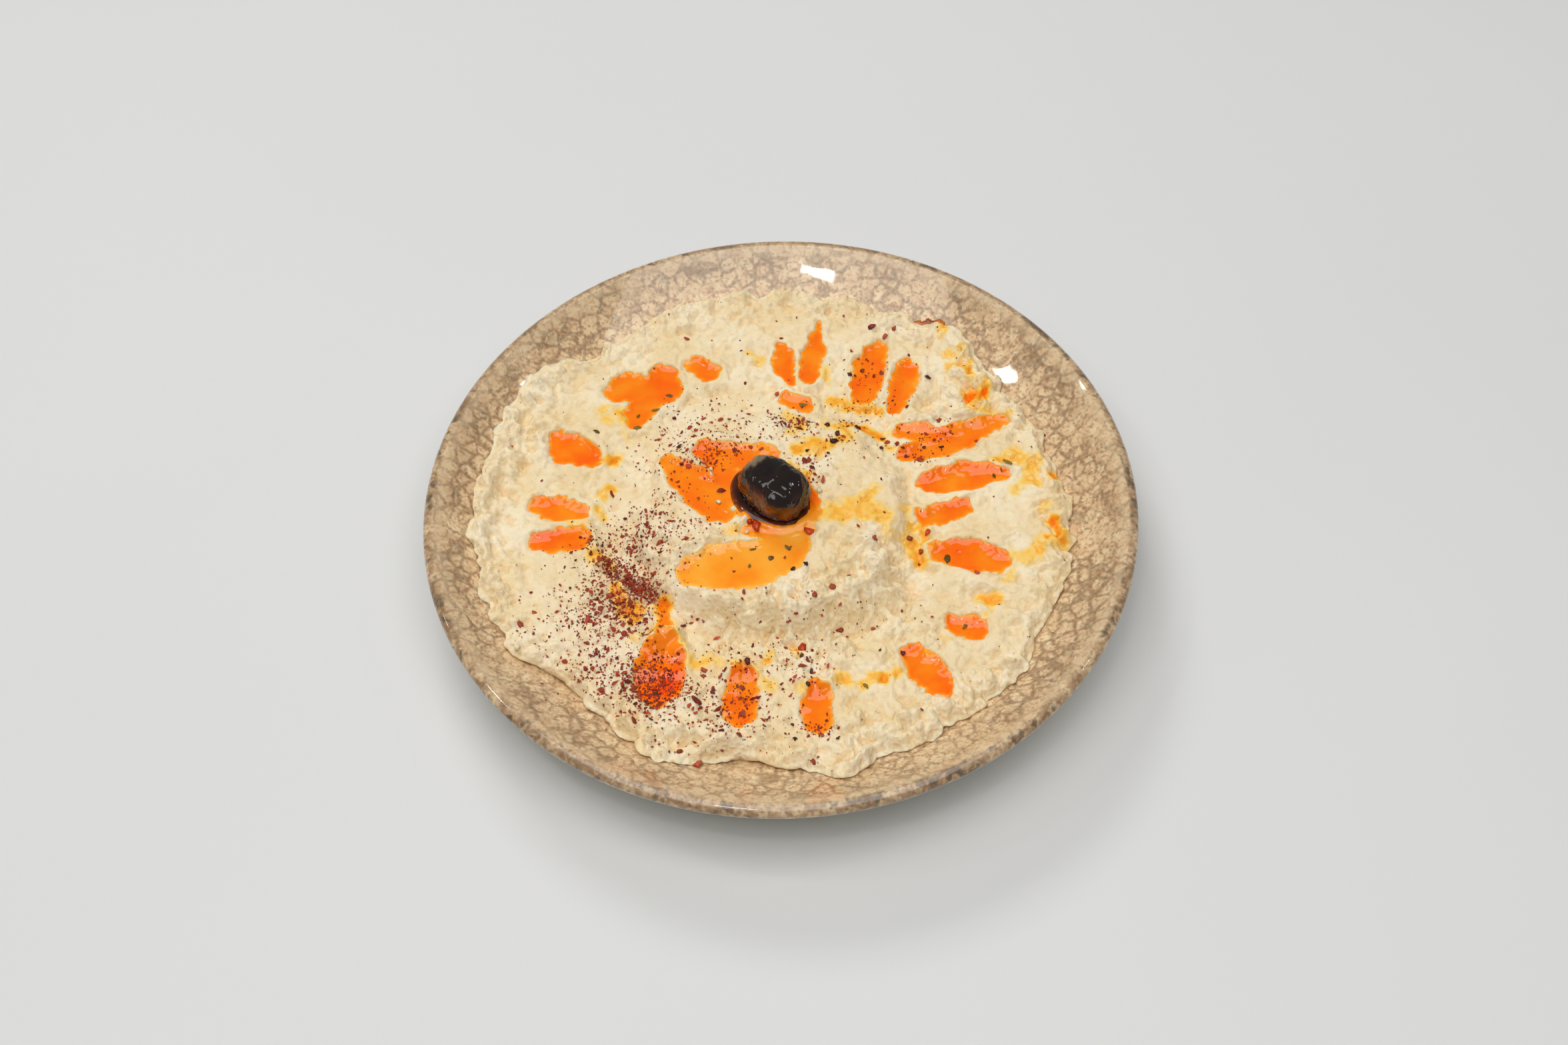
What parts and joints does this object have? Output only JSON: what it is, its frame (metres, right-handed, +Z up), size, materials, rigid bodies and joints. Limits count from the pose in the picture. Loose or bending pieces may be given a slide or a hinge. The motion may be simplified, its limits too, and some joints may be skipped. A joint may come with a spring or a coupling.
{
  "type": "hummus on a plate",
  "caption": "Hummus spread on a round glazed coupe plate, swept into a ring round a low mound, with spoon dents full of red oil, a black olive and sumac.",
  "frame": {"origin": "centre of the plate's foot ring, on the surface the plate stands on", "axes": "+Z up; -Y is the near side of the plate, the side that the eater sits at; +X is to that eater's right"},
  "size_m": [0.2, 0.2, 0.0318],
  "materials": {
    "plate": "glossy speckled beige glaze with brown crackle, darker lip, plain pale underside",
    "hummus": "soft moist paste, pale cream, finely curdled and swept by a spoon",
    "oil": "clear orange-red seasoned oil, wet gloss",
    "olive": "wrinkled black olive, oily gloss"
  },
  "bodies": {
    "root": {"hummus": "hummus", "oil_crater": "oil", "oil_well_01": "oil", "oil_well_02": "oil", "oil_well_03": "oil", "oil_well_04": "oil", "oil_well_05": "oil", "oil_well_06": "oil", "oil_well_07": "oil", "oil_well_08": "oil", "oil_well_09": "oil", "oil_well_10": "oil", "oil_well_11": "oil", "oil_well_12": "oil", "oil_well_13": "oil", "oil_well_14": "oil", "oil_well_15": "oil", "oil_well_16": "oil", "oil_well_17": "oil", "oil_well_18": "oil", "oil_well_19": "oil", "olive": "olive", "plate": "plate"}
  },
  "joints": []
}
